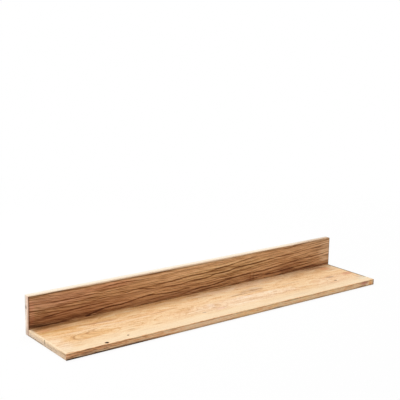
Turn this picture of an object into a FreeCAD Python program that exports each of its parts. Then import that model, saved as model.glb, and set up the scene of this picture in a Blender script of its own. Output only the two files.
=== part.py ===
import FreeCAD, Part
import math
import os

# A wall shelf of solid wood: a shelf board glued up from two staves, and a back board that stands
# behind it as an upstand. Dowels and screws join them, and keyhole plates let into the back hang it.
# X runs along the shelf, the wall is the plane Y = 0 with the room at -Y, and Z is up from the
# underside. The origin lies on the wall, on the underside, halfway along. Sizes are in millimetres.

# The whole shelf
shelf_length = 1200
shelf_depth = 240
shelf_height = 120
shelf_board_thickness = 20
back_board_thickness = 20
front_stave_width = 125
arris_radius = 2

# Dowels that line the boards up
dowel_diameter = 8
dowel_length = 40
dowel_depth_in_back = 12
dowel_end_chamfer = 1
dowel_glue_gap = 0.1
dowel_end_gap = 1

# Countersunk screws driven from the wall side through the back board into the shelf board
board_screw_count = 4
board_screw_end_inset = 60
board_screw_sink = 0.5
board_screw = {
    "diameter": 4,
    "length": 50,
    "tip_length": 6,
    "head_diameter": 8,
    "recess_diameter": 4.4,
    "recess_depth": 2.4,
    "recess_wing": 1,
}

# Keyhole plates, stamped from steel strip, with the screws that hold them
plate_height = 50
plate_width = 18
plate_thickness = 2
plate_end_inset = 150
plate_top_inset = 12
plate_fit_gap = 0.3
plate_sink = 0.3
plate_screw_spacing = 38
plate_screw = {
    "diameter": 3.5,
    "length": 15,
    "tip_length": 4,
    "head_diameter": 6.5,
    "recess_diameter": 3.6,
    "recess_depth": 1.6,
    "recess_wing": 0.8,
}

# The keyhole, and the hollow behind it for the head of a screw in the wall
keyhole_entry_diameter = 9.5
keyhole_slot_width = 5
keyhole_rise = 10
keyhole_entry_drop = 4
head_room_depth = 6
head_room_margin = 1.5

# Shared by all screws and all cuts
screw_head_angle = 90
screw_seat_gap = 0.05
pilot_end_gap = 1
overrun = 1

half_length = shelf_length / 2
joint_y = -back_board_thickness
seam_y = -shelf_depth + front_stave_width
joint_z = shelf_board_thickness / 2

TO_WALL = FreeCAD.Vector(0, 1, 0)


def block(y_from, y_to, z_to):
    """A plain piece of the shelf's full length, between two depths and up to a height."""
    corner = FreeCAD.Vector(-half_length, y_from, 0)
    return Part.makeBox(shelf_length, y_to - y_from, z_to, corner)


def rod(radius, x, y_from, y_to, z):
    """A round bar along Y, for bores and entries."""
    return Part.makeCylinder(radius, y_to - y_from, FreeCAD.Vector(x, y_from, z), TO_WALL)


def upright_slot(x, z_low, z_high, radius, y_from, y_to):
    """A bar along Y with a slot outline: straight sides between two half rounds, one above the other."""
    left, right = x - radius, x + radius
    low_left = FreeCAD.Vector(left, y_from, z_low)
    low_right = FreeCAD.Vector(right, y_from, z_low)
    high_left = FreeCAD.Vector(left, y_from, z_high)
    high_right = FreeCAD.Vector(right, y_from, z_high)
    bottom = FreeCAD.Vector(x, y_from, z_low - radius)
    top = FreeCAD.Vector(x, y_from, z_high + radius)
    outline = Part.Wire(
        [
            Part.Arc(low_left, bottom, low_right).toShape(),
            Part.LineSegment(low_right, high_right).toShape(),
            Part.Arc(high_right, top, high_left).toShape(),
            Part.LineSegment(high_left, low_left).toShape(),
        ]
    )
    return Part.Face(outline).extrude(TO_WALL * (y_to - y_from))


def turned(profile, x, y, z):
    """A piece turned about an axis along Y, from (radius, height above y) points, moved to its place."""
    points = [FreeCAD.Vector(radius, height, 0) for radius, height in profile]
    face = Part.Face(Part.makePolygon(points + points[:1]))
    piece = face.revolve(FreeCAD.Vector(0, 0, 0), TO_WALL, 360)
    piece.translate(FreeCAD.Vector(x, y, z))
    return piece


def drive_recess(screw, x, y, z):
    """The cross recess of a screw head: two crossed wedges that narrow to nothing at its bottom."""
    slope = screw["recess_diameter"] / 2 / screw["recess_depth"]
    half_mouth = slope * (screw["recess_depth"] + overrun)
    half_wing = screw["recess_wing"] / 2
    corners = [(0, -screw["recess_depth"]), (half_mouth, overrun), (-half_mouth, overrun)]
    outline = [FreeCAD.Vector(across, along, -half_wing) for across, along in corners]
    level = Part.Face(Part.makePolygon(outline + outline[:1])).extrude(FreeCAD.Vector(0, 0, 2 * half_wing))
    upright = level.copy()
    upright.rotate(FreeCAD.Vector(0, 0, 0), TO_WALL, 90)
    recess = level.fuse(upright)
    recess.translate(FreeCAD.Vector(x, y, z))
    return recess


def head_depth(screw):
    """How far a countersunk head reaches below its flat top."""
    flank = (screw["head_diameter"] - screw["diameter"]) / 2
    return flank / math.tan(math.radians(screw_head_angle / 2))


def countersunk_screw(screw, x, y, z):
    """A wood screw with its head's flat top at y and its point towards the room, without its thread."""
    head_radius = screw["head_diameter"] / 2
    radius = screw["diameter"] / 2
    profile = [
        (0, 0),
        (head_radius, 0),
        (radius, -head_depth(screw)),
        (radius, -screw["length"] + screw["tip_length"]),
        (0, -screw["length"]),
    ]
    return turned(profile, x, y, z).cut(drive_recess(screw, x, y, z))


def screw_seat(screw, x, y, z):
    """The hole for a screw: a funnel for its head that opens towards the wall, and a bore past its point."""
    radius = screw["diameter"] / 2 + screw_seat_gap
    widening = math.tan(math.radians(screw_head_angle / 2))
    mouth_radius = radius + widening * (head_depth(screw) + overrun)
    bottom = -screw["length"] - pilot_end_gap
    profile = [
        (0, overrun),
        (mouth_radius, overrun),
        (radius, -head_depth(screw)),
        (radius, bottom),
        (0, bottom),
    ]
    return turned(profile, x, y, z)


def eased(sharp):
    """The glued-up boards with every outer arris rounded, but not those that meet the wall."""

    def rounded(edge):
        at_wall = all(abs(v.Point.y) < arris_radius for v in edge.Vertexes)
        in_corner = all(
            abs(v.Point.y - joint_y) < arris_radius and abs(v.Point.z - shelf_board_thickness) < arris_radius
            for v in edge.Vertexes
        )
        return not at_wall and not in_corner

    return sharp.makeFillet(arris_radius, [edge for edge in sharp.Edges if rounded(edge)])


# The boards, glued up square and then eased as one, so that the rounding runs on across the joints
back_blank = block(joint_y, 0, shelf_height)
front_blank = block(-shelf_depth, seam_y, shelf_board_thickness)
rear_blank = block(seam_y, joint_y, shelf_board_thickness)
shelf_blank = block(-shelf_depth, joint_y, shelf_board_thickness)
glued_up = eased(back_blank.fuse(shelf_blank).removeSplitter())
back_board = glued_up.common(back_blank)
front_stave = glued_up.common(front_blank)
rear_stave = glued_up.common(rear_blank)

# Places along the shelf: screws evenly spaced, and a dowel halfway between two screws
screw_pitch = (shelf_length - 2 * board_screw_end_inset) / (board_screw_count - 1)
screw_places = [-half_length + board_screw_end_inset + i * screw_pitch for i in range(board_screw_count)]
dowel_places = [x + screw_pitch / 2 for x in screw_places[:-1]]


def chamfered_dowel(x):
    """A dowel across the joint, with chamfered ends."""
    radius = dowel_diameter / 2
    narrow = radius - dowel_end_chamfer
    profile = [
        (0, 0),
        (narrow, 0),
        (radius, dowel_end_chamfer),
        (radius, dowel_length - dowel_end_chamfer),
        (narrow, dowel_length),
        (0, dowel_length),
    ]
    return turned(profile, x, joint_y + dowel_depth_in_back - dowel_length, joint_z)


def dowel_bore(x):
    """The bore for one dowel, through both boards, with room for glue round it and past its ends."""
    wall_end = joint_y + dowel_depth_in_back + dowel_end_gap
    room_end = joint_y + dowel_depth_in_back - dowel_length - dowel_end_gap
    return rod(dowel_diameter / 2 + dowel_glue_gap, x, room_end, wall_end, joint_z)


dowels = [chamfered_dowel(x) for x in dowel_places]
board_screws = [countersunk_screw(board_screw, x, -board_screw_sink, joint_z) for x in screw_places]
joint_cuts = [dowel_bore(x) for x in dowel_places]
joint_cuts += [screw_seat(board_screw, x, -board_screw_sink, joint_z) for x in screw_places]

# Heights of the keyhole plates and of what is cut in and behind them
plate_mid_z = shelf_height - plate_top_inset - plate_height / 2
plate_arc_drop = plate_height / 2 - plate_width / 2
plate_low_z = plate_mid_z - plate_arc_drop
plate_high_z = plate_mid_z + plate_arc_drop
entry_z = plate_mid_z - keyhole_entry_drop
slot_top_z = entry_z + keyhole_rise
plate_screw_heights = [plate_mid_z - plate_screw_spacing / 2, plate_mid_z + plate_screw_spacing / 2]
plate_wall_y = -plate_sink
plate_room_y = plate_wall_y - plate_thickness


def plate_screw_seats(x):
    """The holes for the two screws of one plate, through the plate and into the wood."""
    return [screw_seat(plate_screw, x, plate_wall_y, z) for z in plate_screw_heights]


def keyhole_plate(x):
    """A round-ended steel plate with a keyhole in the middle and a countersunk hole above and below."""
    blank = upright_slot(x, plate_low_z, plate_high_z, plate_width / 2, plate_room_y, plate_wall_y)
    keyhole = [
        rod(keyhole_entry_diameter / 2, x, plate_room_y - overrun, overrun, entry_z),
        upright_slot(x, entry_z, slot_top_z, keyhole_slot_width / 2, plate_room_y - overrun, overrun),
    ]
    return blank.cut(keyhole + plate_screw_seats(x))


def plate_pocket(x):
    """What is routed and bored out of the back board for one plate, with room for a wall screw's head."""
    floor_y = plate_room_y - head_room_depth
    room_radius = keyhole_entry_diameter / 2 + head_room_margin
    pocket_radius = plate_width / 2 + plate_fit_gap
    pocket = [
        upright_slot(x, plate_low_z, plate_high_z, pocket_radius, plate_room_y, overrun),
        upright_slot(x, entry_z, slot_top_z, room_radius, floor_y, overrun),
    ]
    return pocket + plate_screw_seats(x)


left_x = -half_length + plate_end_inset
right_x = half_length - plate_end_inset
hanger_screws = [
    countersunk_screw(plate_screw, x, plate_wall_y, z)
    for x in (left_x, right_x)
    for z in plate_screw_heights
]

pieces = {
    "shelf_front_stave": front_stave,
    "shelf_rear_stave": rear_stave.cut(joint_cuts),
    "back_board": back_board.cut(joint_cuts + plate_pocket(left_x) + plate_pocket(right_x)),
    "joint_dowels": Part.makeCompound(dowels),
    "joint_screws": Part.makeCompound(board_screws),
    "left_hanger_plate": keyhole_plate(left_x),
    "right_hanger_plate": keyhole_plate(right_x),
    "hanger_screws": Part.makeCompound(hanger_screws),
}

os.makedirs("parts", exist_ok=True)
for name, piece in pieces.items():
    piece.exportStep(os.path.join("parts", name + ".step"))
    print(name, len(piece.Solids), "solids", round(piece.Volume), "mm3", "valid" if piece.isValid() else "broken")
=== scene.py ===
import math

import bpy
from mathutils import Matrix, Vector


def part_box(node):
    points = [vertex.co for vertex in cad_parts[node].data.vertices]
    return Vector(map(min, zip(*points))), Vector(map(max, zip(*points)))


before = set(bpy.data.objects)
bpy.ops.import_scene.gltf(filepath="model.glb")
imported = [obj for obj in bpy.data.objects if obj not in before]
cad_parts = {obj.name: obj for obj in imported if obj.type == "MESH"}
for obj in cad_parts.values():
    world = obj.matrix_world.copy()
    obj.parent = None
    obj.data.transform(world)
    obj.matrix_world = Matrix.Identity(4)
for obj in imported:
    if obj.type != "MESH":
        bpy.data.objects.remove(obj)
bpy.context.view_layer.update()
bpy.ops.object.select_all(action="DESELECT")

# Back board. One plank of warm brown wood, 20 mm thick, that stands on edge along the wall behind
# the shelf board. It is planed, eased along its room-side arrises, and oiled. The grain rises gently
# to the right, and the sawn edges and ends are paler than the face.


class Wire:
    """One output in a material's node tree. Sums on it add Math nodes, so a pattern reads as a formula."""

    def __init__(self, tree, socket=None):
        self.tree = tree
        self.socket = socket

    def node(self, kind, settings=None, sockets=None, output=0):
        """Adds a node, sets it up, then fills or links its sockets, and gives back one of its outputs."""
        made = self.tree.nodes.new("ShaderNode" + kind)
        for name, value in (settings or {}).items():
            if name == "stops":
                set_stops(made.color_ramp, value)
            elif name == "points":
                set_points(made, value)
            else:
                setattr(made, name, value)
        for name, value in (sockets or {}).items():
            if isinstance(value, Wire):
                self.tree.links.new(value.socket, made.inputs[name])
            else:
                made.inputs[name].default_value = value
        return Wire(self.tree, made.outputs[output])

    def math(self, operation, *values):
        return self.node("Math", {"operation": operation}, dict(enumerate(values)))

    def __add__(self, other):
        return self.math("ADD", self, other)

    def __radd__(self, other):
        return self.math("ADD", other, self)

    def __sub__(self, other):
        return self.math("SUBTRACT", self, other)

    def __rsub__(self, other):
        return self.math("SUBTRACT", other, self)

    def __mul__(self, other):
        return self.math("MULTIPLY", self, other)

    def __rmul__(self, other):
        return self.math("MULTIPLY", other, self)

    def __truediv__(self, other):
        return self.math("DIVIDE", self, other)

    def __pow__(self, other):
        return self.math("POWER", self, other)

    def root(self):
        return self.math("SQRT", self)

    def size(self):
        return self.math("ABSOLUTE", self)

    def most(self, other):
        return self.math("MAXIMUM", self, other)

    def rises(self, start, end):
        """0 at start and 1 at end, with a soft change between. Start may be above end."""
        low, high = min(start, end), max(start, end)
        to = {3: 0.0, 4: 1.0} if start < end else {3: 1.0, 4: 0.0}
        return self.node("MapRange", {"interpolation_type": "SMOOTHSTEP"}, {0: self, 1: low, 2: high, **to})

    def bell(self, width):
        """1 where the value is 0, and fading away at about this width on both sides."""
        share = self / width
        return self.math("EXPONENT", share * share * -1.0)

    def span(self, start, end, soft):
        """1 between start and end, with soft ends."""
        return self.rises(start - soft, start + soft) * self.rises(end + soft, end - soft)


def set_stops(ramp, stops):
    while len(ramp.elements) < len(stops):
        ramp.elements.new(0.5)
    for element, (place, colour) in zip(ramp.elements, stops):
        element.position = place
        element.color = colour


def set_points(made, points):
    curve = made.mapping.curves[0]
    while len(curve.points) < len(points):
        curve.points.new(0.5, 0.5)
    for point, place in zip(curve.points, points):
        point.location = place
    made.mapping.update()


def paint(red, green, blue):
    """A colour written as on a screen, 0 to 255, as the linear values that a shader works with."""
    shares = [value / 255 for value in (red, green, blue)]
    linear = [((share + 0.055) / 1.055) ** 2.4 if share > 0.04 else share / 12.92 for share in shares]
    return (*linear, 1.0)


def new_finish(name):
    """A new material, and the place on the piece in millimetres as x, y and z."""
    material = bpy.data.materials.new(name)
    material.use_nodes = True
    place = Wire(material.node_tree).node("TexCoord", output="Object")
    in_mm = place.node("VectorMath", {"operation": "SCALE"}, {0: place, "Scale": 1000.0})
    parts = [in_mm.node("SeparateXYZ", None, {0: in_mm}, axis) for axis in range(3)]
    return material, parts


def noise(x, y, z, detail=2.0, roughness=0.5):
    """Smooth noise from 0 to 1 that averages a half, at a place given by three numbers."""
    place = x.node("CombineXYZ", None, {0: x, 1: y, 2: z})
    sockets = {"Vector": place, "Scale": 1.0, "Detail": detail, "Roughness": roughness}
    return x.node("TexNoise", None, sockets)


def shades(tone, *stops):
    """A colour for each tone, from stops that are a tone and its colour."""
    painted = [(place, paint(*colour)) for place, colour in stops]
    return tone.node("ValToRGB", {"stops": painted}, {0: tone})


def blend(first, second, share):
    """The first colour where share is 0, the second where it is 1."""
    settings = {"data_type": "RGBA", "clamp_factor": True}
    return share.node("Mix", settings, {0: share, 6: first, 7: second}, 2)


def marked(colour, *marks):
    """A colour with marks over it in turn. A mark is its own colour, and how far it covers."""
    for mark_colour, share in marks:
        colour = blend(colour, paint(*mark_colour), share)
    return colour


def stained(colour, usual, x, across, stain, rough_edge):
    """A soft oval where the wood turns from its usual colour to another and keeps its grain.

    A stain is its middle (x, across), half length, half width, colour and strength.
    """
    mid_x, mid_across, half_long, half_wide, stain_colour, strength = stain
    tint = [new / old for new, old in zip(paint(*stain_colour)[:3], paint(*usual))]
    changed = colour.node("VectorMath", {"operation": "MULTIPLY"}, {0: colour, 1: tint})
    away = ((x - mid_x) / half_long) ** 2 + ((across - mid_across) / half_wide) ** 2
    return blend(colour, changed, (away + rough_edge).rises(1.5, 0.1) * strength)


def height_along(x, half_length, top, points):
    """A height that changes along the board, from (x, height) points, on one smooth curve."""
    share = (x + half_length) / (2 * half_length)
    marks = [((px + half_length) / (2 * half_length), height / top) for px, height in points]
    curve = x.node("FloatCurve", {"points": marks}, {0: 1.0, 1: share})
    return curve * top


def latewood(count):
    """Growth rings from a count of them: each darkens slowly, then ends at once where the next begins."""
    return count.math("FRACT", count) ** 2.6


def finish(material, names, colour, roughness, bump, constants):
    """Feeds the shader its patterns and constants, and puts the material on the named pieces."""
    shader = material.node_tree.nodes["Principled BSDF"]
    for socket, pattern in (("Base Color", colour), ("Roughness", roughness), ("Normal", bump)):
        material.node_tree.links.new(pattern.socket, shader.inputs[socket])
    for socket, value in constants.items():
        shader.inputs[socket].default_value = value
    for name in names:
        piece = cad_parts[name]
        piece.data.materials.clear()
        piece.data.materials.append(material)


def oiled(material, place, colour, grain, name, dull=0.0):
    """Planed and oiled wood: satin, a little duller in the pores, which are also pressed in."""
    x, y, z = place
    pores, fibres, rings = grain
    sheen = noise(x / 45, y / 3, z / 3)
    roughness = 0.5 + sheen * 0.16 + pores * 0.15 + dull
    relief = (1 - pores) * 0.7 + fibres * 0.25 - rings * 0.12
    bump = x.node("Bump", None, {"Strength": 0.22, "Distance": 0.0003, "Height": relief})
    finish(material, [name], colour, roughness, bump, {"Specular IOR Level": 0.2})


half_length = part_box("back_board")[1].x * 1000
board_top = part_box("back_board")[1].z * 1000
plank_brown = (204, 152, 104)

brown_wood, place = new_finish("brown_plank")
x, y, z = place

# The plank was sawn beside the pith, so its growth rings cut it as wide arcs. "ring" is the height
# at which a ring comes out on the room side, in millimetres. It rises to the right.
pith_y, pith_z, face_y = 60.0, -60.0, -20.0
reach = ((y - pith_y) ** 2 + (z - pith_z) ** 2 - (face_y - pith_y) ** 2).most(1.0).root() + pith_z
wander = noise(x / 210, y / 90, z / 60) - 0.5
wobble = noise(x / 55, y / 30, z / 16) - 0.5
rise_points = [(-600, 10), (-420, 6), (-150, 8), (75, 14), (325, 27), (600, 44)]
highest_point = 60.0
ring = reach + wander * 12 + wobble * 4 - height_along(x, half_length, highest_point, rise_points)

# From coarse to fine: bands, broken growth rings, strands and short dashes of darker wood, fibres
# and pores. The dashes lean across the rings.
dash_lean = 0.13
bands = noise(x / 420 + 3.1, ring / 15, y / 200, 2.0, 0.55)
broken = noise(x / 60 + 2.2, ring / 5, y / 40, 2.0, 0.6)
rings = latewood(ring / 9.4 + noise(x / 600, ring / 50, y / 300) * 3) * broken.rises(0.25, 0.7)
thin_rings = latewood(ring / 4.9 + wander * 4) * broken.rises(0.75, 0.3)
strands = noise(x / 150 + 1.7, ring / 1.9, y / 1.8, 2.0, 0.55) - 0.5
dashes = noise(x / 52, (z + x * dash_lean) / 2.2, y / 2.2) - 0.5
fibres = noise(x / 30, ring / 0.7, y / 0.8, 2.0, 0.6)
pores = noise(x / 7, z / 0.45, y / 0.45, 1.0).rises(0.63, 0.73)

# The strong dark growth lines, from left to right: (x, height) points, half width, strength, both ends
strong_lines = [
    ([(-600, 112), (-520, 115), (-430, 113)], 2.5, 0.4, (-600, -420)),
    ([(-600, 70), (-500, 73), (-420, 76), (-380, 79)], 1.6, 0.4, (-600, -380)),
    ([(-590, 23), (-520, 24), (-460, 27), (-400, 30)], 2.2, 0.3, (-590, -440)),
    ([(-560, 91), (-510, 88), (-450, 87), (-360, 91)], 2.0, 0.55, (-565, -355)),
    ([(-540, 49), (-480, 53), (-456, 54), (-380, 57), (-340, 57)], 2.1, 0.9, (-545, -340)),
    (
        [(-412, 24), (-390, 30), (-366, 34), (-330, 39), (-292, 38), (-264, 41), (-180, 48)],
        2.3, 1.1, (-402, -170),
    ),
    (
        [(-378, 68), (-345, 70), (-312, 68), (-282, 70), (-246, 75), (-210, 77)],
        1.8, 0.65, (-385, -205),
    ),
    ([(-350, 104), (-290, 106), (-225, 104)], 1.8, 0.5, (-350, -222)),
    ([(-200, 49), (-170, 46), (-119, 42), (-86, 41)], 2.0, 0.8, (-180, -80)),
    ([(-200, 71), (-170, 66), (-116, 64), (-68, 63), (-20, 66)], 1.9, 0.6, (-200, -25)),
    (
        [(-176, 80), (-71, 79), (-53, 82), (25, 83), (88, 88), (130, 91), (160, 95), (220, 102)],
        2.1, 0.75, (-180, 240),
    ),
    (
        [(-50, 29), (10, 36), (58, 37), (100, 41), (130, 44), (175, 48), (285, 49)],
        2.6, 0.7, (-50, 290),
    ),
    (
        [(-20, 66), (43, 66), (70, 71), (130, 74), (160, 79), (190, 81), (225, 80), (300, 85)],
        2.2, 1.0, (-30, 290),
    ),
    ([(0, 28), (60, 29)], 2.2, 0.6, (5, 62)),
    ([(240, 38), (320, 34), (420, 38), (500, 41)], 2.2, 0.45, (240, 500)),
    ([(250, 112), (400, 113), (520, 110), (600, 115)], 1.8, 0.5, (250, 600)),
    (
        [(280, 82), (345, 87), (435, 88), (468, 91), (510, 93), (540, 95), (570, 99), (594, 101)],
        2.0, 0.85, (285, 600),
    ),
    (
        [(294, 50), (360, 56), (405, 59), (435, 61), (465, 64), (525, 64), (570, 67)],
        2.3, 0.8, (290, 575),
    ),
    ([(315, 64), (365, 65)], 1.8, 0.7, (318, 365)),
    ([(435, 51), (480, 48), (515, 51)], 1.8, 0.6, (440, 512)),
    ([(460, 29), (495, 27), (560, 27)], 3.0, 0.5, (462, 560)),
]
drawn = None
for points, half_width, strength, (start, end) in strong_lines:
    middle = height_along(x, half_length, board_top, points)
    away = (reach + wander * 1.6 + wobble * 2 - middle).size()
    line = (away.bell(half_width) - away.bell(half_width * 3) * 0.3) * x.span(start, end, 22) * strength
    drawn = line if drawn is None else drawn + line
drawn = drawn * (0.45 + broken * 1.1)

# Tone runs from 0, the palest wood, to 1, the darkest growth line. It is darker at the left and paler
# towards the wall. The darkening low down is painted shade, and the paling on the upper part is painted
# light.
tone = 0.325 + (bands - 0.5) * 1.1 + dashes * 1.3 + strands * 1.4 + (fibres - 0.5) * 0.5
tone = tone + z.rises(95, 15) * 0.1 - z.rises(75, 118) * 0.1 + x.rises(-220, -560) * 0.12
tone = tone + rings * 0.65 + thin_rings * 0.4 + drawn * 0.95
usual_tone = 0.4
tone = usual_tone + (tone - usual_tone) * (1 - y.rises(-16, -3) * 0.4)
face_colour = shades(
    tone,
    (0.0, (246, 200, 152)),
    (0.3, (226, 177, 128)),
    (0.5, plank_brown),
    (0.75, (166, 115, 72)),
    (1.0, (112, 70, 38)),
)
face_colour = marked(face_colour, ((104, 62, 34), pores * 0.3))

# Stains in the face: pinker wood at the upper left, yellower in the upper middle, browner low down
golden_brown = (228, 177, 126)
straw_brown = (232, 188, 142)
rosy_brown = (202, 139, 107)
peach_brown = (220, 150, 112)
mustard = (206, 160, 106)
fawn = (218, 165, 119)
russet = (171, 112, 71)
chestnut = (153, 99, 61)
umber = (134, 80, 48)
smoky_brown = (124, 90, 58)
burnt_brown = (112, 62, 28)
broad_bands = [
    (-500, 92, 120, 22, rosy_brown, 0.45),
    (-430, 44, 230, 20, russet, 0.75),
    (-390, 77, 90, 4, golden_brown, 0.4),
    (-330, 104, 90, 12, peach_brown, 0.4),
    (-290, 63, 200, 6, chestnut, 0.6),
    (-120, 27, 150, 9, chestnut, 0.55),
    (-100, 35, 170, 5, chestnut, 0.4),
    (-60, 84, 160, 14, golden_brown, 0.35),
    (10, 30, 90, 12, chestnut, 0.3),
    (60, 104, 220, 16, golden_brown, 0.4),
    (130, 78, 200, 24, mustard, 0.6),
    (230, 65, 80, 4, chestnut, 0.4),
    (300, 30, 130, 18, russet, 0.35),
    (500, 26, 90, 7, umber, 0.55),
]
left_patches = [
    (-592, 66, 12, 44, peach_brown, 0.5),
    (-585, 66, 18, 14, golden_brown, 0.4),
    (-578, 53, 26, 8, golden_brown, 0.5),
    (-572, 25, 46, 7, smoky_brown, 0.55),
    (-572, 101, 28, 4, chestnut, 0.4),
    (-560, 76, 46, 4, straw_brown, 0.4),
    (-525, 88, 36, 5, golden_brown, 0.2),
    (-500, 45, 50, 4, fawn, 0.4),
    (-450, 27, 44, 6, golden_brown, 0.4),
    (-260, 39, 42, 5, golden_brown, 0.4),
]
right_patches = [
    (-50, 55, 60, 5, fawn, 0.35),
    (85, 51, 40, 6, golden_brown, 0.5),
    (220, 29, 56, 7, fawn, 0.4),
    (220, 72, 45, 4, golden_brown, 0.35),
    (303, 34, 14, 6, umber, 0.5),
    (372, 36, 16, 8, chestnut, 0.4),
    (385, 38, 42, 13, chestnut, 0.6),
    (420, 49, 40, 7, russet, 0.4),
    (535, 24, 36, 5, fawn, 0.4),
    (575, 43, 24, 8, straw_brown, 0.5),
    (578, 76, 34, 34, straw_brown, 0.5),
]
dark_check = (-406, 25, 11, 4, burnt_brown, 0.7)
ripples = [
    (225, 36, 4, 16, russet, 0.5),
    (239, 34, 4, 15, chestnut, 0.45),
    (254, 36, 4, 13, russet, 0.35),
]
ragged = (broken - 0.5) * 1.2
for stain in [*broad_bands, *left_patches, *right_patches, dark_check, *ripples]:
    face_colour = stained(face_colour, plank_brown, x, z, stain, ragged)

# The eased arrises above and at the left of the face took more oil. In the middle, the pale of the top
# edge, a painted highlight, reaches down over the arris.
on_face = y.rises(face_y + 3, face_y + 1)
highlight_reach = x.span(-440, 190, 80) * 2.2
arris_height = 116.4
oil = 0.15 + broken * 0.7 + x.rises(-440, -500) * 0.4
face_colour = marked(
    face_colour,
    ((92, 68, 44), (z + highlight_reach - arris_height).bell(1.6) * oil * on_face),
    ((96, 60, 36), (x + half_length - 1.8).bell(2.2) * on_face * 0.8),
)

# The sawn top edge is pale wood painted nearly white as a painted highlight, browner towards the room and
# at the right
edge_grain = noise(x / 90, ring / 2.4, y / 2.2, 3.0, 0.6)
room_side = y.rises(-8, -18)
edge_colour = blend(paint(251, 238, 217), paint(236, 208, 178), room_side * 0.8 + (edge_grain - 0.5) * 1.8)
edge_colour = marked(edge_colour, ((182, 142, 106), x.rises(370, 540) * (0.45 + room_side * 0.5)))

# End grain, pale at the wall and warmer at the room. Over it, in turn: browner low down, a dark
# arris at the room, a greyer edge at the wall, a brown foot that is painted shade, and one small check.
end_grain = noise(x / 90, y / 2.2, z / 9, 2.0, 0.6) - 0.5
check_y, check_z = -5, 84
end_colour = blend(paint(255, 242, 226), paint(234, 193, 167), y.rises(-4, -15) + end_grain * 2.4)
end_colour = marked(
    end_colour,
    ((206, 174, 148), z.rises(84, 10) * y.rises(-9, -19) * 0.5),
    ((150, 102, 70), z.rises(96, 30) * y.rises(-15, -18.5) * 0.7),
    ((190, 168, 150), (y + 2).bell(3.5) * z.rises(40, 76) * 0.6),
    ((184, 158, 138), z.rises(34, 12) * 0.55),
    ((136, 110, 92), (z - check_z).bell(5) * (y - check_y).bell(6) * 0.8),
)

# The painted highlight of the top edge runs down over the arris in the middle
on_edge = (z + highlight_reach * y.rises(-18, -19.8)).rises(board_top - 1.9, board_top - 0.7)
on_end = x.size().rises(half_length - 1.0, half_length - 0.2)
brown_colour = blend(blend(face_colour, edge_colour, on_edge), end_colour, on_end)
# A dark line down the arris at the right end: painted shade, where the arris turns away from the lamps
brown_colour = marked(brown_colour, ((84, 66, 48), (x - half_length + 1.5).bell(1.1) * 0.9))
oiled(brown_wood, place, brown_colour, (pores, fibres, rings), "back_board")

# Rear stave of the shelf board. Pale wood, more golden than the front stave, which comes from the
# same log. It is glued edge to edge to the front stave and to the back board behind it, planed level
# and oiled.
pale_gold = (249, 209, 160)
shelf_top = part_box("shelf_rear_stave")[1].z * 1000
seam_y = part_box("shelf_rear_stave")[0].y * 1000
front_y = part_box("shelf_front_stave")[0].y * 1000


def growth_lines(value, sharpness):
    """Thin dark lines where a noise passes its middle value, as contour lines are drawn."""
    return (1 - (value * 2 - 1).size() * 2.2).most(0.0) ** sharpness


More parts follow.
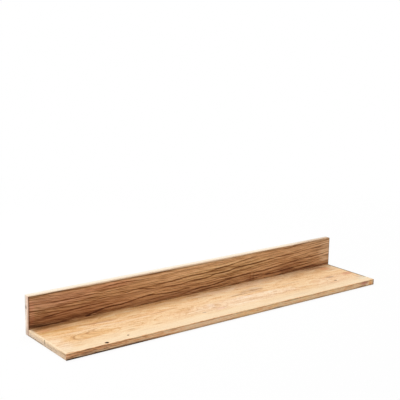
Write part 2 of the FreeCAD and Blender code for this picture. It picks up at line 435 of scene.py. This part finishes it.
def pale_wood(name, pith, seed, stains, streaks, knots=(), creamy=None):
    """The pale wood of one stave, with rings about a pith line that runs below the board.

    A streak is its (x, y) points, half width, strength, both ends and colour. A knot is its x and y,
    radius, stretch along the board, strength and the colour of its core. Between the two y of creamy,
    the wood turns creamier.
    """
    material, (x, y, z) = new_finish(name)
    pith_y, pith_z = pith
    drift = noise(x / 260 + seed, y / 120, z / 90) - 0.5
    arch = noise(x / 150 + seed * 3, y / 300, z / 300, 1.0) - 0.5
    across = y - pith_y + drift * 22
    below = z - pith_z + arch * 34
    ring = (across ** 2 + below ** 2).root()

    # From coarse to fine: bands, clouds, broken rings and growth lines, dashes, figure across the
    # grain, fibres and pores
    dash_lean = 0.08
    bands = noise(x / 420 + seed, ring / 11, y / 160)
    cloud = noise(x / 70 + seed, y / 26, z / 30, 5.0, 0.74)
    broken = noise(x / 50 + seed, y / 9, z / 9, 2.0, 0.6)
    rings = latewood(ring / 5.6 + noise(x / 500, ring / 30, seed) * 2) * broken.rises(0.3, 0.75)
    lines = growth_lines(noise(x / 300 + seed * 2, (y + drift * 30) / 6, z / 120, 2.0, 0.55), 2.0)
    lines = lines * broken.rises(0.65, 0.3)
    dashes = noise(x / 60 + seed, (y + x * dash_lean) / 2.2, z / 2.2, 2.0, 0.6) - 0.5
    figure = noise((x * 0.6 + y * 0.8) / 17, (x * 0.8 - y * 0.6) / 3.2, z / 40, 1.0) - 0.5
    fibres = noise(x / 26, y / 0.6, z / 0.8, 2.0, 0.6)
    pores = noise(x / 6, y / 0.42, z / 0.42, 1.0).rises(0.63, 0.73)
    tone = 0.2 + (bands - 0.5) * 0.75 + (cloud - 0.5) * 0.95 + dashes * 1.9 + figure * 0.4
    tone = tone + (fibres - 0.5) * 0.3 + rings * 0.5 + lines * 0.45
    colour = shades(
        tone,
        (0.0, (255, 228, 188)),
        (0.35, pale_gold),
        (0.62, (232, 184, 130)),
        (1.0, (188, 136, 86)),
    )

    on_top = z.rises(shelf_top - 2, shelf_top - 0.4)
    if creamy:
        colour = marked(colour, ((255, 234, 200), y.rises(*creamy) * on_top * (0.2 + cloud * 0.8)))
    ragged = (broken - 0.5) * 1.4 + (cloud - 0.5) * 0.8
    for stain in stains:
        colour = stained(colour, pale_gold, x, y, stain, ragged)
    for points, half_width, strength, (start, end), streak_colour in streaks:
        away = y + drift * 5 - height_along(x, half_length, front_y, points)
        streak = away.bell(half_width) * x.span(start, end, 10) * strength
        colour = marked(colour, (streak_colour, streak * (0.4 + broken)))
    dull = 0.0
    for knot_x, knot_y, radius, stretch, strength, core_colour in knots:
        away = (((x - knot_x) / stretch) ** 2 + (y - knot_y) ** 2).root() + (broken - 0.5) * radius * 0.6
        halo = away.rises(radius * 1.7, radius * 1.15) * 0.9 * strength
        core = away.rises(radius * 1.35, radius * 0.95) * strength
        colour = marked(colour, ((156, 92, 38), halo), (core_colour, core))
        dull = dull + core * 0.45

    # The pores are darker, and the margin of the top at the left end is painted pale: a painted highlight
    # on the eased arris
    left_arris_highlight = x.rises(-half_length + 9, -half_length + 2) * on_top * 0.8
    colour = marked(colour, ((160, 110, 70), pores * 0.25), ((255, 232, 198), left_arris_highlight))

    # End grain, creamy under the top arris, which is a painted highlight, and greyer below. Over it, in
    # turn:
    # the rings, a dark foot of painted shade under the lower arris, a browner middle on the front stave,
    # the seam, and a browner front with a dark arris.
    streaky = noise(y / 5, z / 12, seed, 2.0, 0.6) - 0.5
    shaded_foot = 0.25 + streaky * 2.6 + y.rises(seam_y - 1, seam_y + 15) * 0.6
    middle = (0.5 + streaky * 1.5) * y.rises(seam_y + 3, seam_y - 7)
    end_colour = blend(paint(254, 225, 187), paint(232, 209, 184), z.rises(17, 9) + streaky * 1.6)
    end_colour = marked(
        end_colour,
        ((164, 140, 112), rings * z.rises(19, 14) * 1.1),
        ((112, 92, 74), (z - 3.4).bell(1.5) * shaded_foot),
        ((186, 158, 126), (z - 11).bell(4.5) * middle),
        ((96, 74, 54), (y - seam_y).bell(2.3) * z.rises(3, 9) * 0.8),
        ((222, 184, 142), y.rises(-180, -238) * 0.5),
        ((140, 104, 68), y.rises(-190, -234) * (z - 15.4).bell(2) * 0.8),
    )
    colour = blend(colour, end_colour, x.size().rises(half_length - 2.2, half_length - 0.6) * 0.92)

    # The arris at the right end is darker, most of all on top of the rear half: painted shade, where the
    # arris turns away from the lamps
    right_arris_shade = x.rises(half_length - 10, half_length - 4) * x.rises(half_length + 0.6, half_length - 1.4)
    top_right_shade = right_arris_shade * z.rises(shelf_top - 3, shelf_top - 1.5)
    colour = marked(
        colour,
        ((160, 138, 110), (x - half_length + 1.3).bell(1.0) * 0.8),
        ((104, 92, 70), top_right_shade * y.rises(-208, -196) * 0.85),
    )
    return material, (x, y, z), colour, (pores, fibres, rings), dull


honey = (239, 187, 122)
biscuit = (229, 180, 125)
butter = (244, 197, 143)
peach = (248, 208, 168)
milk = (254, 229, 198)
ochre = (226, 170, 96)
sand = (214, 168, 120)
toffee = (209, 154, 104)
salmon = (237, 157, 105)
caramel = (184, 132, 86)
brick = (180, 116, 78)
cocoa = (160, 106, 66)
ash = (221, 187, 152)
dust = (180, 138, 103)
rear_bands = [
    (-530, -73, 90, 10, ochre, 0.6),
    (-475, -29, 150, 10, cocoa, 0.65),
    (-470, -50, 200, 34, honey, 0.55),
    (-400, -78, 70, 7, toffee, 0.5),
    (-330, -100, 290, 22, butter, 0.5),
    (-240, -66, 230, 18, honey, 0.5),
    (-200, -28, 420, 16, honey, 0.6),
    (-150, -42, 150, 26, biscuit, 0.45),
    (160, -46, 210, 20, peach, 0.6),
    (430, -36, 120, 8, toffee, 0.25),
    (480, -68, 90, 14, biscuit, 0.6),
]
rear_patches = [
    # The first patch, pale at the left end beside the back board, is painted light over the shade of that
    # corner
    (-596, -34, 7, 18, milk, 0.7),
    (-568, -51, 24, 8, salmon, 0.5),
    (-560, -34, 50, 14, toffee, 0.6),
    (-520, -52, 44, 8, toffee, 0.5),
    (-520, -92, 60, 18, honey, 0.5),
    (-505, -110, 30, 8, biscuit, 0.5),
    (-390, -41, 46, 6, toffee, 0.4),
    (-295, -94, 46, 14, biscuit, 0.5),
    (-28, -32, 30, 7, brick, 0.5),
    (-20, -61, 40, 8, sand, 0.5),
    (90, -32, 50, 7, caramel, 0.35),
    (268, -58, 36, 12, honey, 0.5),
    (390, -63, 24, 7, toffee, 0.45),
    (515, -31, 60, 9, brick, 0.6),
    (546, -52, 26, 14, salmon, 0.65),
    (560, -78, 28, 7, sand, 0.5),
    (575, -100, 24, 16, butter, 0.5),
]
grey_smudge = [
    (100, -114, 40, 5, dust, 0.6),
    (120, -107, 66, 10, ash, 0.4),
    (130, -98, 16, 5, dust, 0.5),
    (171, -99, 20, 9, dust, 0.45),
    (176, -88, 44, 9, ash, 0.65),
    (200, -98, 16, 6, dust, 0.5),
]
rear_streaks = [
    ([(-590, -62), (-500, -63), (-440, -60)], 2.0, 0.5, (-585, -450), toffee),
    ([(-540, -113), (-400, -112), (-250, -113)], 3.0, 0.6, (-530, -250), milk),
    ([(-470, -69), (-418, -78), (-350, -86)], 2.6, 0.7, (-462, -355), brick),
    ([(-235, -105), (-180, -106)], 2.2, 0.7, (-234, -185), brick),
    ([(-200, -103), (-150, -102)], 2.0, 0.6, (-172, -140), caramel),
    ([(60, -114), (130, -113), (200, -112)], 1.8, 0.6, (66, 198), cocoa),
    ([(280, -111), (310, -111), (370, -113)], 1.8, 0.5, (285, 365), dust),
]
rear_stains = [*rear_bands, *rear_patches, *grey_smudge]
rear_wood, place, rear_colour, grain, dull = pale_wood(
    "pale_rear_stave", (-62.0, -90.0), 4.2, rear_stains, rear_streaks
)
oiled(rear_wood, place, rear_colour, grain, "shelf_rear_stave", dull)

# Front stave of the shelf board. Pale wood from the same log, creamier towards its free edge, with
# three small knots. It is glued to the rear stave, planed level with it, eased along its arrises,
# and oiled.
cream = (255, 224, 188)
blush = (242, 190, 158)
rose = (222, 158, 122)
lemon = (240, 222, 185)
front_stains = [
    # The first mark, on the top arris at the front left corner, is painted shade
    (-588, -235, 16, 4, toffee, 0.6),
    (-580, -165, 34, 50, cream, 0.6),
    (-545, -205, 20, 8, butter, 0.6),
    (-505, -222, 26, 7, butter, 0.5),
    (-480, -150, 90, 26, honey, 0.65),
    (-356, -179, 12, 4, sand, 0.6),
    (-345, -185, 26, 6, biscuit, 0.5),
    (-160, -146, 60, 22, butter, 0.5),
    (-95, -184, 8, 4, dust, 0.7),
    (-42, -164, 10, 4, toffee, 0.7),
    (-40, -142, 16, 18, cream, 0.6),
    (-28, -181, 20, 8, blush, 0.6),
    (60, -158, 260, 34, cream, 0.85),
    (80, -138, 50, 10, cream, 0.5),
    (280, -168, 40, 12, peach, 0.4),
    (480, -160, 110, 44, peach, 0.5),
    (488, -137, 22, 7, dust, 0.75),
    (575, -138, 24, 13, rose, 0.75),
    (580, -205, 20, 13, lemon, 0.5),
    (582, -188, 16, 10, ash, 0.6),
]
front_streaks = [
    ([(-590, -196), (-520, -203), (-470, -206)], 2.0, 0.45, (-560, -490), biscuit),
    ([(-537, -160), (-467, -170), (-435, -184), (-400, -190)], 2.4, 0.4, (-530, -405), toffee),
]
front_knots = [
    (-468.4, -230.0, 4.2, 1.05, 1.0, (20, 6, 0)),
    (-389.5, -214, 2.3, 1.2, 0.95, (76, 40, 8)),
    (476.5, -176, 2.9, 1.7, 0.6, (84, 50, 26)),
]
front_wood, place, top_colour, grain, dull = pale_wood(
    "pale_front_stave", (-150.0, -70.0), 1.7, front_stains, front_streaks, front_knots, (-165.0, -222.0)
)
x, y, z = place

# The rings also draw arches on the top at the left: (x, y) of the tip, spread, run to the right, strength
arches = [
    (-530, -151, 15, 110, 0.8),
    (-500, -150, 12, 80, 0.35),
    (-479, -139, 11, 60, 0.75),
    (-455, -131, 8, 45, 0.5),
]
shiver = noise(x / 22, y / 9, z / 40) - 0.5
on_top = z.rises(shelf_top - 2, shelf_top - 0.4)
for tip_x, tip_y, spread, run, strength in arches:
    past_tip = x - tip_x - (y - tip_y) ** 2 / spread + shiver * 16
    line = past_tip.bell(5) * x.rises(tip_x + run, tip_x) * on_top * strength
    top_colour = marked(top_colour, ((186, 130, 80), line))

# The front edge cuts the rings as long lines that lean. It is browner towards the left.
edge_bands = noise(x / 110, (z - x * 0.03) / 5, 0.3 * y, 2.0, 0.6) - 0.5
edge_dashes = noise(x / 26, (z + x * 0.1) / 1.9, 0.3 * y, 2.0, 0.6) - 0.5
edge_tone = 0.13 + edge_bands * 1.5 + edge_dashes * 2.2 + x.rises(-180, -520) * 0.42
edge_colour = shades(
    edge_tone,
    (0.0, (255, 219, 172)),
    (0.3, (255, 198, 144)),
    (0.6, (230, 161, 107)),
    (1.0, (128, 84, 56)),
)
amber = (255, 208, 140)
orange_highlight = (250, 186, 108)
olive = (206, 186, 140)
rosewood = (198, 130, 112)
mushroom = (176, 150, 124)
drab = (156, 127, 98)
edge_stains = [
    # The cream mark at the left end is a painted highlight on the rounded front corner
    (-597, 10, 5, 12, cream, 0.6),
    (-565, 9, 34, 8, toffee, 0.3),
    (-528, 9, 30, 6, dust, 0.6),
    (-495, 17, 26, 3, biscuit, 0.5),
    (-490, 6, 150, 6, lemon, 0.8),
    (-482, 15, 20, 5, peach, 0.5),
    (-420, 12, 60, 5, biscuit, 0.4),
    (-360, 4, 80, 4, dust, 0.6),
    (-150, 12, 160, 9, peach, 0.5),
    (30, 10, 60, 8, amber, 0.4),
    (140, 14, 18, 5, amber, 0.6),
    (152, 3, 20, 4, mushroom, 0.7),
    (216, 17, 26, 3, olive, 0.5),
    (275, 14, 18, 5, amber, 0.5),
    (392, 14, 20, 5, amber, 0.5),
    (480, 13, 22, 5, toffee, 0.5),
    (545, 5, 22, 3, drab, 0.6),
    (552, 14, 20, 6, rosewood, 0.8),
    (566, 5, 7, 3, milk, 0.6),
    # The orange mark is a painted highlight near the right front corner, and the drab one after it is
    # painted shade on the right arris
    (582, 11, 7, 10, orange_highlight, 0.7),
    (597, 10, 5, 11, drab, 0.8),
]
for stain in edge_stains:
    edge_colour = stained(edge_colour, pale_gold, x, z, stain, edge_bands * 1.5)

# The foot of the edge is dark, above all at the left: painted shade under the eased lower arris, over a
# brown streak in the wood at the left. A thin line runs under the top arris
shaded_foot = z.rises(6.8, 3.2) * (0.2 + noise(x / 45, 0.1 * y, 0.1 * z) * 1.3)
under_arris = noise(x / 60, 0.1 * y, 3.3) * 1.3 - 0.2 + x.rises(-400, -500) * 0.3
edge_colour = marked(
    edge_colour,
    ((60, 38, 20), shaded_foot * (0.42 + x.rises(-220, -400) * 0.6)),
    ((136, 96, 58), (z - 17.2).bell(1.5) * under_arris),
)
front_colour = blend(top_colour, edge_colour, y.rises(front_y + 2.8, front_y + 1.4))
oiled(front_wood, place, front_colour, grain, "shelf_front_stave", dull)

# Dowels. Turned beech dowels with chamfered ends, glued across the joint between the shelf board
# and the back board. The bare wood has a straight grain along them and small brown flecks.
beech, (x, y, z) = new_finish("bare_beech")
beech_grain = noise(x / 0.9, y / 30, z / 0.9, 3.0, 0.6)
flecks = noise(x / 0.5, y / 2.5, z / 0.5, 1.0).rises(0.62, 0.7)
beech_colour = blend(paint(226, 194, 152), paint(200, 160, 116), beech_grain)
beech_colour = marked(beech_colour, ((160, 112, 72), flecks * 0.5))
beech_bump = x.node("Bump", None, {"Strength": 0.2, "Distance": 0.0002, "Height": beech_grain})
finish(beech, ["joint_dowels"], beech_colour, 0.6 + beech_grain * 0.2, beech_bump, {})

# Screws. Countersunk wood screws of zinc-plated steel: four through the back board and two in each
# keyhole plate. Their heads show turning marks, and the crossed recess is darkened with painted shade.
zinc, (x, y, z) = new_finish("zinc_plating")
bloom = noise(x / 1.4, y / 1.4, z / 1.4, 3.0, 0.6)
turning = noise(x / 3, y / 0.16, z / 3, 1.0)
yellowed = noise(x / 4, y / 4, z / 4, 1.0).rises(0.5, 0.75)
shaded_recess = y.rises(-0.9, -2.0)
zinc_colour = blend(paint(222, 216, 198), paint(170, 168, 160), (bloom - 0.5) * 1.6 + 0.5)
zinc_colour = marked(zinc_colour, ((206, 182, 130), yellowed * 0.4), ((98, 92, 84), shaded_recess * 0.5))
zinc_relief = bloom + turning * 0.5
zinc_bump = x.node("Bump", None, {"Strength": 0.15, "Distance": 0.0001, "Height": zinc_relief})
screws = ["joint_screws", "hanger_screws"]
finish(zinc, screws, zinc_colour, 0.26 + bloom * 0.3, zinc_bump, {"Metallic": 1.0})

# Keyhole plates. Stamped from 2 mm steel strip and zinc plated, with the rolling marks of the strip
# along their length, and screwed into pockets in the back board. The plating is dull and specked,
# and rubbed bright round the keyhole by a wall screw.
strip, (x, y, z) = new_finish("stamped_strip")
keyhole_x, keyhole_z = 450.0, 84.0
rolling = noise(x / 0.1, y / 0.5, z / 16, 2.0, 0.6)
tarnish = noise(x / 4, y / 4, z / 6, 3.0, 0.6)
specks = noise(x / 0.5, y / 0.5, z / 0.5, 1.0).rises(0.66, 0.74)
from_keyhole = ((x.size() - keyhole_x) ** 2 * 1.6 + (z - keyhole_z) ** 2 * 0.5).root()
rubbed = (from_keyhole + (tarnish - 0.5) * 4).rises(8.5, 4.5)
strip_colour = blend(paint(190, 192, 192), paint(136, 136, 132), (tarnish - 0.5) * 1.8 + 0.45)
strip_colour = marked(strip_colour, ((92, 84, 74), specks * 0.5), ((222, 220, 214), rubbed * 0.75))
strip_rough = 0.34 + rolling * 0.18 + (tarnish - 0.5) * 0.3 - rubbed * 0.14 + specks * 0.2
strip_relief = rolling - specks * 0.6 + rubbed * noise(x / 0.3, y, z / 3, 1.0)
strip_bump = x.node("Bump", None, {"Strength": 0.2, "Distance": 0.0001, "Height": strip_relief})
plates = ["left_hanger_plate", "right_hanger_plate"]
finish(strip, plates, strip_colour, strip_rough, strip_bump, {"Metallic": 1.0})

# Floor and light. A plain white floor that the shelf lies on, whiter far away so that it runs into
# the white room without a line. One large soft lamp hangs above and behind, and a smaller one
# stands to the left.


def light_path(tree, kind):
    return Wire(tree).node("LightPath", output=kind)


def shown(tree):
    """1 for what the camera, a shiny surface or glass shows, and 0 for light that falls on the shelf."""
    by_camera = light_path(tree, "Is Camera Ray")
    return by_camera.most(light_path(tree, "Is Glossy Ray")).most(light_path(tree, "Is Transmission Ray"))


floor_size, clearance = 60.0, 0.0004
bpy.ops.mesh.primitive_plane_add(size=floor_size, location=(0, 0, -clearance))
floor = bpy.context.active_object
floor.name = "floor"
bpy.ops.object.transform_apply(location=True, rotation=True, scale=True)
floor_material = bpy.data.materials.new("white_floor")
floor_material.use_nodes = True
tree = floor_material.node_tree
tree.nodes.remove(tree.nodes["Principled BSDF"])
white, floor_grey = (1.0, 1.0, 1.0, 1.0), (0.79, 0.79, 0.79, 1.0)
by_camera = light_path(tree, "Is Camera Ray")
matt = by_camera.node("BsdfDiffuse", None, {"Color": blend(floor_grey, white, by_camera)})
bright = by_camera.node("Emission", None, {"Color": white, "Strength": 1.0})
place = Wire(tree).node("TexCoord", output="Object")
far = place.node("VectorMath", {"operation": "LENGTH"}, {0: place}, "Value").rises(0.9, 2.2)
white_share = shown(tree) * (0.9 + far * 0.1)
surface = by_camera.node("MixShader", None, {0: white_share, 1: matt, 2: bright})
tree.links.new(surface.socket, tree.nodes["Material Output"].inputs["Surface"])
floor.data.materials.append(floor_material)

room = bpy.data.worlds.new("white_room")
bpy.context.scene.world = room
room.use_nodes = True
tree = room.node_tree
background = tree.nodes["Background"]
room_light = 0.46
level = room_light + shown(tree) * (1 - room_light)
tree.links.new(level.socket, background.inputs["Strength"])
background.inputs["Color"].default_value = white


def soft_lamp(name, place, target, width, height, power):
    bpy.ops.object.light_add(type="AREA", location=place)
    lamp = bpy.context.active_object
    lamp.name = name
    lamp.data.shape = "RECTANGLE"
    lamp.data.size = width
    lamp.data.size_y = height
    lamp.data.energy = power
    lamp.rotation_euler = (Vector(target) - Vector(place)).to_track_quat("-Z", "Y").to_euler()


soft_lamp("top_lamp", (0.0, 1.0, 3.2), target=(0, -0.1, 0), width=3.4, height=2.2, power=69)
soft_lamp("left_lamp", (-4.2, -0.3, 1.7), target=(0, -0.1, 0.05), width=2.4, height=2.0, power=47)

# Camera. It stands to the front left and a little above, at the place, angle and focal length that
# put the corners of the shelf where the photograph has them.
camera_place = (-1.6553, -2.1958, 0.9124)
camera_yaw, camera_tilt, camera_roll = (math.radians(angle) for angle in (37.341, 12.046, 0.991))
focal_length, frame_width = 79.23, 36.0
bpy.ops.object.camera_add(location=camera_place)
camera = bpy.context.active_object
turn = Matrix.Rotation(-camera_yaw, 3, "Z") @ Matrix.Rotation(math.pi / 2 - camera_tilt, 3, "X")
camera.rotation_euler = (turn @ Matrix.Rotation(camera_roll, 3, "Z")).to_euler()
camera.data.lens = focal_length
camera.data.sensor_width = frame_width
bpy.context.scene.camera = camera
bpy.context.scene.view_settings.view_transform = "Standard"
